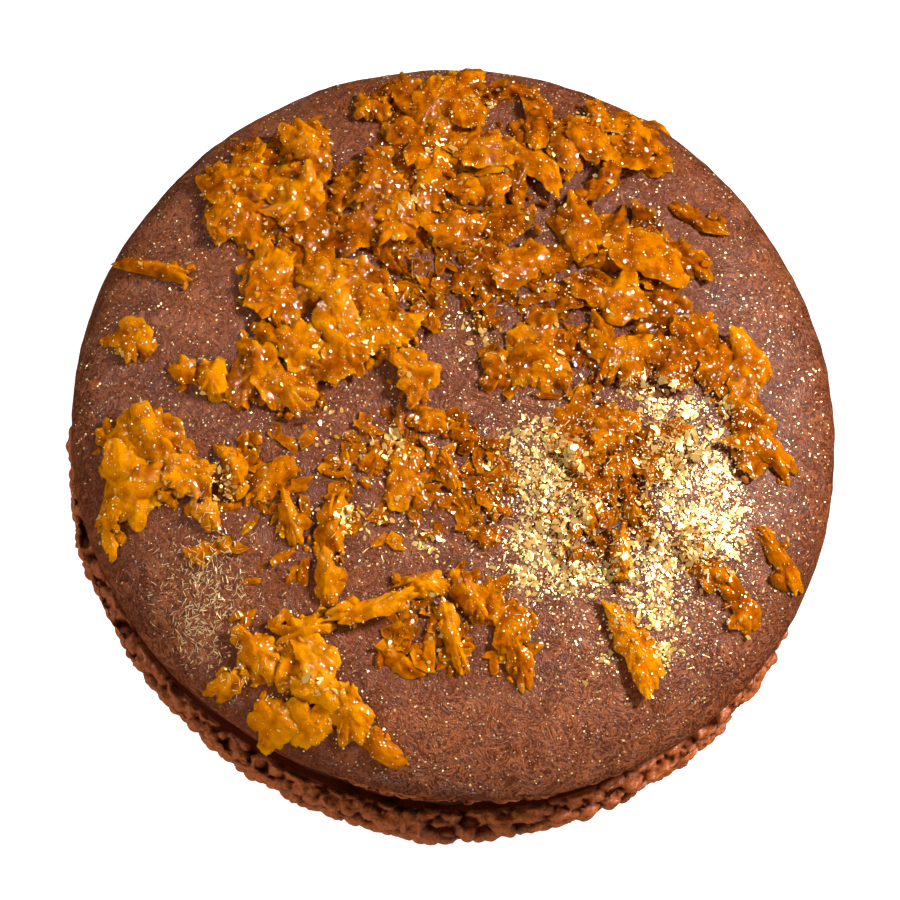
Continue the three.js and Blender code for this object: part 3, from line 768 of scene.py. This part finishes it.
def candied_peel():
    """Candied orange peel: pith soaked with sugar syrup turns clear, so light goes in and glows amber.
    A brighter colour at the thin torn edges is painted rim light. A wet sugar gloss covers it, which
    the crumples break into glints."""
    material = new_material("candied_orange_peel")
    place = add_node(material, "ShaderNodeTexCoord").outputs["Object"]
    tone = add_node(material, "ShaderNodeAttribute", attribute_name="tone")
    near = add_node(material, "ShaderNodeAttribute", attribute_name="near_edge")
    pulp = add_node(
        material, "ShaderNodeTexNoise",
        {"Vector": place, "Scale": 1 / (PULP_SIZE * MM), "Detail": 3.0, "Roughness": 0.55},
    )
    facets = add_node(
        material, "ShaderNodeTexVoronoi", {"Vector": place, "Scale": 1 / (FACET_SIZE * MM)},
        distance="MANHATTAN",
    )
    lift = add_node(
        material, "ShaderNodeMath", {0: pulp.outputs["Fac"], 1: 1.3, 2: -0.68}, operation="MULTIPLY_ADD"
    )
    level = add_node(
        material, "ShaderNodeMath", {0: lift.outputs[0], 1: tone.outputs["Fac"]}, operation="ADD"
    )
    low, high = [
        add_node(
            material, "ShaderNodeMapRange", {"Value": level.outputs[0], "From Min": least, "From Max": most}
        )
        for least, most in ((-0.15, 0.45), (0.4, 1.05))
    ]
    # Painted rim light: near the torn edge the colour is mixed towards a brighter one.
    thin = add_node(
        material, "ShaderNodeMapRange",
        {"Value": near.outputs["Fac"], "From Min": 0.8, "From Max": 1.0, "To Max": 0.3},
    )
    colour = linear(ZEST_DEEP)
    for share, over in ((low, ZEST_AMBER), (high, ZEST_BRIGHT), (thin, ZEST_RIM_LIGHT)):
        mixed = add_node(
            material, "ShaderNodeMix",
            {"Factor": share.outputs["Result"], "A": colour, "B": linear(over)}, data_type="RGBA",
        )
        colour = mixed.outputs["Result"]
    fibres = add_node(
        material, "ShaderNodeTexNoise",
        {
            "Vector": place, "Scale": 1 / (FIBRE_SIZE * MM),
            "Detail": 1.0, "Roughness": 0.5, "Distortion": 0.5,
        },
    )
    wet = add_node(
        material, "ShaderNodeMath",
        {0: facets.outputs["Distance"], 1: -0.6, 2: fibres.outputs["Fac"]}, operation="MULTIPLY_ADD",
    )
    bump = add_node(
        material, "ShaderNodeBump",
        {"Strength": 0.8, "Distance": WET_DEPTH * MM, "Height": wet.outputs[0]},
    )
    shader = add_node(
        material, "ShaderNodeBsdfPrincipled",
        {
            "Base Color": colour, "Roughness": 0.05, "IOR": 1.45, "Specular IOR Level": 0.5,
            "Subsurface Weight": 0.6, "Subsurface Radius": (1.0, 1.0, 1.0),
            "Subsurface Scale": GLOW_REACH * MM, "Transmission Weight": 0.5,
            "Normal": bump.outputs["Normal"],
        },
    )
    add_node(material, "ShaderNodeOutputMaterial", {"Surface": shader.outputs[0]})
    return material


peel_material = candied_peel()
drift_rows, lone_rows = drift_shreds(), lone_shreds()
shaving_rows = shavings(np.concatenate([drift_rows, lone_rows]))
zest_points = []
for name, rows, spokes, ring_count in (
    ("zest_drifts", drift_rows, SHRED_SPOKES, SHRED_RINGS),
    ("zest_lone_shreds", lone_rows, SHRED_SPOKES, SHRED_RINGS),
    ("zest_shavings", shaving_rows, SHAVING_SPOKES, SHAVING_RINGS),
    ("zest_threads", threads(), SHAVING_SPOKES, SHAVING_RINGS),
):
    points, faces, near, tone = torn_flakes(rows, spokes, ring_count)
    zest = make_piece(
        name, points, faces, peel_material, "zest", PEEL_CREASE, near_edge=near, tone=tone
    )
    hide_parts("top_shell")
    zest_points.append(points - UPPER_SHIFT)


def ground_map():
    """Height of the highest thing over each square of a plan grid: the skin with its relief, or a
    flake's top. Also the skin's own height."""
    ticks = np.arange(-GROUND_HALF, GROUND_HALF + GROUND_STEP / 2, GROUND_STEP)
    across, back = np.meshgrid(ticks, ticks, indexing="ij")
    heights = skin_level(across, back)
    heights = heights + all_lumps(np.stack([across, back, heights], axis=-1), SKIN_LUMPS)
    flakes = np.full(heights.shape, -1.0)
    for points in zest_points:
        cell = np.rint((points[:, :2] + GROUND_HALF) / GROUND_STEP).astype(int)
        cell = np.clip(cell, 0, len(ticks) - 1)
        np.maximum.at(flakes, (cell[:, 0], cell[:, 1]), points[:, 2])
    for axis in (0, 1):
        flakes = np.maximum(flakes, np.maximum(np.roll(flakes, 1, axis), np.roll(flakes, -1, axis)))
    return np.maximum(heights, flakes), heights


def ground_cells(x, y):
    """Row and column of a place on the plan grid, kept off its border."""
    cells = np.rint((np.stack([x, y]) + GROUND_HALF) / GROUND_STEP).astype(int)
    return np.clip(cells, 2, len(ground) - 3)


def soaked(reach):
    """How much syrup has soaked in at each square: the share of the squares within reach that zest
    covers, averaged along one axis and then the other, twice."""
    wet = (ground - bare_ground > ZEST_LIFT).astype(float)
    span = int(reach / GROUND_STEP)
    for axis in (0, 1, 0, 1):
        total = np.cumsum(wet, axis=axis)
        wet = (np.roll(total, -span, axis) - np.roll(total, span, axis)) / (2 * span)
    return np.clip(wet, 0, 1)


ground, bare_ground = ground_map()
skin_places = np.empty(3 * len(upper_skin.data.vertices))
upper_skin.data.vertices.foreach_get("co", skin_places)
skin_places = skin_places.reshape(-1, 3) / MM - UPPER_SHIFT
syrup = soaked(SYRUP_REACH)[tuple(ground_cells(skin_places[:, 0], skin_places[:, 1]))]
upper_skin.data.attributes.new("syrup", "FLOAT", "POINT").data.foreach_set("value", SYRUP_MOST * syrup)

# Gold leaf and gold dust
# Edible gold leaf broken up with a brush and dusted on while the zest was wet: a crackle of flat
# scraps in patches, and fine flakes of gold over everything. Both cling to what they lie on.
LEAF_STEP = 0.2
LEAF_LEAST, LEAF_SPREAD = 0.05, 0.3
DUST_LEAST, DUST_SPREAD = 0.03, 0.07
DUST_ALL, DUST_BESIDE = 9000, 6500
DUST_ON_ZEST = 0.7
DUST_WITHIN = 0.985
DUST_STRAY, STREAK_STRAY, FAN_STRAY = 2.2, 1.3, 0.6
FLECKS, FLECK_SHARE, FLECK_LIFT = 620, 0.75, 0.3
STREAK_LEAST, STREAK_SPREAD = 0.12, 0.18
STREAKS_FAN, STREAKS_BESIDE = 620, 600
SCRAP_DRAWS = 31.0
SCRAP_LEAST, SCRAP_SPREAD = 0.5, 0.7
SCRAP_LIFT, SCRAP_TOP, SCRAP_UNDER = 0.03, 0.05, 0.1
SLOPE_MOST = 0.5
BELL_FALL = 0.7
LEAF_BREAKS = [(1.2, 0.9, 61)]
GOLD_SEED = 5
CREASE_SIZE, CREASE_DEPTH = 0.3, 0.06
LEAF_GOLD, DUST_GOLD = "#ffca70", "#ffdca0"

# Patches of leaf in plan: middle x, y, half length, half width, heading in degrees, share covered
LEAF_PATCHES = np.array([
    [14.8, -5.8, 4.0, 2.2, 105, 1.6], [13.4, 0.0, 3.0, 1.3, -10, 1.2], [15.8, -2.6, 2.6, 1.2, 90, 0.9],
    [12.2, -10.4, 2.8, 1.6, 95, 1.2], [13.0, -14.2, 1.6, 1.0, 80, 0.8], [5.9, -4.9, 3.0, 1.8, 110, 2.2],
    [5.3, -9.2, 2.2, 1.8, 60, 1.5], [7.9, -11.1, 2.2, 1.0, 10, 0.9], [3.4, -3.0, 1.6, 1.0, 30, 0.35],
    [1.2, 4.9, 1.6, 1.3, 0, 0.35], [8.7, -15.6, 1.6, 0.8, 90, 0.4], [-5.4, -7.6, 1.8, 0.8, 0, 0.5],
    [-3.6, -2.9, 0.9, 1.0, 0, 0.4], [-7.2, -1.8, 1.2, 1.2, 60, 0.25], [-1.8, -8.9, 1.1, 0.8, 0, 0.4],
    [-8.2, -17.8, 1.1, 0.5, 160, 0.5], [-2.8, 12.9, 1.0, 0.5, 20, 0.5], [-1.0, 16.6, 1.0, 0.7, 60, 0.4],
    [1.4, 20.2, 1.2, 0.4, 0, 0.5], [-14.4, -5.2, 0.7, 1.1, 0, 0.4],
])

# A fan of streaks in plan: middle x, y, half sizes along x and y
DUST_FAN_AT = np.array([-15.4, -12.4, 2.4, 4.2])


def leaf_places():
    """Places of the leaf's scraps: a lattice with its points shifted at random, of which those stay
    that a patch covers. A patch's cover falls off from its middle as a bell, and is broken by lumps."""
    ticks = np.arange(-SHELL_RADIUS, SHELL_RADIUS, LEAF_STEP)
    x, y = np.stack(np.meshgrid(ticks, ticks)).reshape(2, -1)
    number = np.arange(len(x)) * 3.0
    x, y = x + LEAF_STEP * (draw(number) - 0.5), y + LEAF_STEP * (draw(number + 1) - 0.5)
    cover = np.zeros(len(x))
    for middle_x, middle_y, long, broad, heading, most in LEAF_PATCHES:
        c, s = np.cos(np.radians(heading)), np.sin(np.radians(heading))
        away = ((x - middle_x) * c + (y - middle_y) * s) / long
        aside = ((y - middle_y) * c - (x - middle_x) * s) / broad
        cover = np.maximum(cover, most * np.exp(-BELL_FALL * (away**2 + aside**2) ** 2))
    broken = all_lumps(np.stack([x, y, np.zeros(len(x))], axis=-1), LEAF_BREAKS)
    stays = cover * (1 + broken) > draw(number + 2)
    return np.stack([x, y])[:, stays]


def lay_scraps(name, material, x, y, size, narrow, corners, lean, seed):
    """A piece of thin scraps of leaf: each a low double pyramid on an uneven polygon, narrowed, turned and
    tilted at random, lying on the ground map."""
    cell = ground_cells(x, y)
    level = ground[cell[0], cell[1]]
    slope = np.stack([
        ground[cell[0] + 2, cell[1]] - ground[cell[0] - 2, cell[1]],
        ground[cell[0], cell[1] + 2] - ground[cell[0], cell[1] - 2],
    ]) / (4 * GROUND_STEP)
    each = np.arange(len(x)) * SCRAP_DRAWS + seed
    slope = np.clip(slope, -SLOPE_MOST, SLOPE_MOST)
    slope = slope + lean * (2 * draw(np.stack([each, each + 0.25])) - 1)
    corner = np.arange(corners)
    angle = 2 * np.pi * corner / corners
    heading = 2 * np.pi * draw(each + 0.5)[:, None]
    reach = size[:, None] * (SCRAP_LEAST + SCRAP_SPREAD * draw(each[:, None] + 1 + corner))
    away = reach * np.cos(angle)
    aside = reach * np.sin(angle) * (narrow * (1 + draw(each + 0.75)))[:, None]
    off_x = away * np.cos(heading) - aside * np.sin(heading)
    off_y = away * np.sin(heading) + aside * np.cos(heading)
    rise = off_x * slope[0][:, None] + off_y * slope[1][:, None]
    edge = np.stack([x[:, None] + off_x, y[:, None] + off_y, level[:, None] + rise + SCRAP_LIFT], axis=-1)
    top = np.stack([x, y, level + SCRAP_LIFT + SCRAP_TOP * size], axis=-1)[:, None]
    under = np.stack([x, y, level - SCRAP_UNDER * size], axis=-1)[:, None]
    block = np.concatenate([edge, top, under], axis=1) + UPPER_SHIFT
    after = (corner + 1) % corners
    fan = np.concatenate([
        np.stack([corner, after, np.full(corners, corners)], axis=-1),
        np.stack([after, corner, np.full(corners, corners + 1)], axis=-1),
    ])
    faces = (fan[None] + (np.arange(len(x)) * (corners + 2))[:, None, None]).reshape(-1, 3)
    make_piece(name, block.reshape(-1, 3), [faces], material, "gold_leaf", crease=0.0)


def edible_gold(name, colour, metallic, roughness):
    """Edible gold: a warm pale yellow that mirrors the room softly, because the scraps are crumpled.
    It is gilt on sugar or mica, so it is only partly metallic."""
    material = new_material(name)
    place = add_node(material, "ShaderNodeTexCoord").outputs["Object"]
    crease = add_node(
        material, "ShaderNodeTexNoise", {"Vector": place, "Scale": 1 / (CREASE_SIZE * MM), "Detail": 3.0}
    )
    bump = add_node(
        material, "ShaderNodeBump",
        {"Strength": 0.5, "Distance": CREASE_DEPTH * MM, "Height": crease.outputs["Fac"]},
    )
    shader = add_node(
        material, "ShaderNodeBsdfPrincipled",
        {
            "Base Color": linear(colour), "Metallic": metallic, "Roughness": roughness,
            "Normal": bump.outputs["Normal"],
        },
    )
    add_node(material, "ShaderNodeOutputMaterial", {"Surface": shader.outputs[0]})
    return material


rng = np.random.default_rng(GOLD_SEED)
leaf_material = edible_gold("beaten_gold_leaf", LEAF_GOLD, metallic=0.72, roughness=0.3)
dust_material = edible_gold("gold_lustre_dust", DUST_GOLD, metallic=0.7, roughness=0.35)
leaf_at = leaf_places()
peel_cells = np.argwhere(ground - bare_ground > FLECK_LIFT)
flecks_at = rng.choice(peel_cells, FLECKS).T * GROUND_STEP - GROUND_HALF
flake_at = np.concatenate([leaf_at, flecks_at], axis=1)
leaf_size = LEAF_LEAST + LEAF_SPREAD * rng.random(flake_at.shape[1]) ** 2
leaf_size[-FLECKS:] *= FLECK_SHARE
lay_scraps("gold_leaf", leaf_material, *flake_at, leaf_size, narrow=0.4, corners=5, lean=0.24, seed=100)


def beside_leaf(count, spread):
    """Places about the scraps of leaf: normal draws round scraps that are picked at random."""
    return leaf_at[:, rng.integers(0, leaf_at.shape[1], count)] + spread * rng.normal(size=(2, count))


def on_shell(places):
    """Those of the places that lie on the upper skin."""
    edge = DUST_WITHIN * SHELL_RADIUS * outline(np.arctan2(places[1], places[0]))
    return places[:, np.hypot(*places) < edge]


far = np.sqrt(rng.random(DUST_ALL))
way = 2 * np.pi * rng.random(DUST_ALL)
even_at = SHELL_RADIUS * far * np.stack([np.cos(way), np.sin(way)])
dust_at = on_shell(np.concatenate([even_at, beside_leaf(DUST_BESIDE, DUST_STRAY)], axis=1))
on_zest = (ground - bare_ground)[tuple(ground_cells(*dust_at))] > ZEST_LIFT
dust_at = dust_at[:, ~on_zest | (rng.random(dust_at.shape[1]) < DUST_ON_ZEST)]
dust_size = DUST_LEAST + DUST_SPREAD * rng.random(dust_at.shape[1]) ** 2
lay_scraps("gold_dust", dust_material, *dust_at, dust_size, narrow=0.5, corners=5, lean=0.3, seed=90000)

fan_at = DUST_FAN_AT[:2, None] + DUST_FAN_AT[2:, None] * FAN_STRAY * rng.normal(size=(2, STREAKS_FAN))
streak_at = on_shell(np.concatenate([fan_at, beside_leaf(STREAKS_BESIDE, STREAK_STRAY)], axis=1))
streak_size = STREAK_LEAST + STREAK_SPREAD * rng.random(streak_at.shape[1])
lay_scraps(
    "gold_streaks", dust_material, *streak_at, streak_size, narrow=0.08, corners=6, lean=0.2, seed=500000
)

# Table, light and camera
# A white light table, which glows a little. A large soft lamp at the right and a low one at the front
# left light the shells. A small bulb beside the lamp and a smaller one at the left make the glints:
# only these two are mirrored, as behind a polarising filter, so that wet zest keeps its colour.
TABLE_HALF = 3000.0
TABLE_GREY, TABLE_LIGHT = "#a8a6a4", "#ffffff"
TABLE_GLOW = 0.9
ROOM_STRENGTH = 0.22
VIEW_ELEVATION = np.radians(73.6)
VIEW_DISTANCE = 450.0
VIEW_SCALE = 15.893
VIEW_ASIDE, VIEW_BELOW = -0.32, -1.164
IMAGE_SIDE = 900
SENSOR = 36.0
CLIP_START = 10.0

# Lamps: name, place, width across, power in watts, whether it is mirrored
LAMPS = (
    ("lamp", Vector((295.0, 65.0, 325.0)), 150.0, 1.15, False),
    ("bulb", Vector((280.0, 90.0, 332.0)), 60.0, 3.3, True),
    ("spark", Vector((-260.0, 130.0, 300.0)), 30.0, 0.45, True),
    ("fill", Vector((-220.0, -280.0, 170.0)), 200.0, 0.78, False),
)

table_material = new_material("white_light_table")
table_shader = add_node(
    table_material, "ShaderNodeBsdfPrincipled",
    {
        "Base Color": linear(TABLE_GREY), "Roughness": 0.6,
        "Emission Color": linear(TABLE_LIGHT), "Emission Strength": TABLE_GLOW,
    },
)
add_node(table_material, "ShaderNodeOutputMaterial", {"Surface": table_shader.outputs[0]})
table_mesh = bpy.data.meshes.new("table")
table_corners = [
    (x * TABLE_HALF * MM, y * TABLE_HALF * MM, 0.0) for x, y in ((-1, -1), (1, -1), (1, 1), (-1, 1))
]
table_mesh.from_pydata(table_corners, [], [(0, 1, 2, 3)])
table_mesh.materials.append(table_material)
table = bpy.data.objects.new("table", table_mesh)
bpy.context.scene.collection.objects.link(table)
table.visible_glossy = False

world = bpy.data.worlds.new("room")
world.use_nodes = True
world.node_tree.nodes["Background"].inputs["Color"].default_value = (1.0, 1.0, 1.0, 1.0)
world.node_tree.nodes["Background"].inputs["Strength"].default_value = ROOM_STRENGTH
bpy.context.scene.world = world
world.cycles_visibility.glossy = False
bpy.context.scene.view_settings.view_transform = "Standard"

rim_middle = Vector((*UPPER_SHIFT[:2], rim_upper))
for name, place, size, power, mirrored in LAMPS:
    light_data = bpy.data.lights.new(name, "AREA")
    light_data.shape = "DISK"
    light_data.size = size * MM
    light_data.energy = power
    light = bpy.data.objects.new(name, light_data)
    light.location = place * MM
    light.visible_glossy = mirrored
    light.rotation_euler = (rim_middle - place).to_track_quat("-Z", "Y").to_euler()
    bpy.context.scene.collection.objects.link(light)

view_up = Vector((0, np.sin(VIEW_ELEVATION), np.cos(VIEW_ELEVATION)))
view_back = Vector((0, -np.cos(VIEW_ELEVATION), np.sin(VIEW_ELEVATION)))
aim = rim_middle + Vector((VIEW_ASIDE, 0, 0)) + view_up * VIEW_BELOW
camera_data = bpy.data.cameras.new("camera")
camera_data.sensor_width = SENSOR
camera_data.lens = SENSOR * VIEW_DISTANCE * VIEW_SCALE / IMAGE_SIDE
camera_data.clip_start = CLIP_START * MM
camera = bpy.data.objects.new("camera", camera_data)
camera.location = (aim + view_back * VIEW_DISTANCE) * MM
camera.rotation_euler = (-view_back).to_track_quat("-Z", "Y").to_euler()
bpy.context.scene.collection.objects.link(camera)
bpy.context.scene.camera = camera
